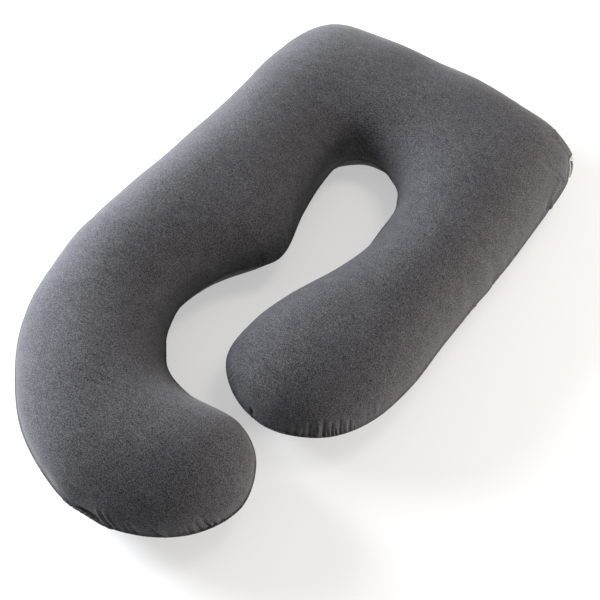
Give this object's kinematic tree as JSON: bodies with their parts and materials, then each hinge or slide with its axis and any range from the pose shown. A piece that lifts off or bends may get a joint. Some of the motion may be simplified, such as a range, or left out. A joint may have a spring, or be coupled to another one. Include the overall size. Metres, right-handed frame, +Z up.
{
  "type": "pregnancy pillow",
  "caption": "Full-body pregnancy pillow, a long filled cushion bent into a hooked U with one leg curling inwards, lying flat.",
  "frame": {"origin": "on the resting surface, under the middle of the pillow's bounding box", "axes": "+Y towards the closed head end, +X towards the straight leg, +Z up"},
  "size_m": [0.81, 1.396, 0.1962],
  "materials": {
    "jersey": "matt heather jersey",
    "label": "woven satin"
  },
  "bodies": {
    "root": {"pillow": "jersey", "side_label": "label"}
  },
  "joints": []
}
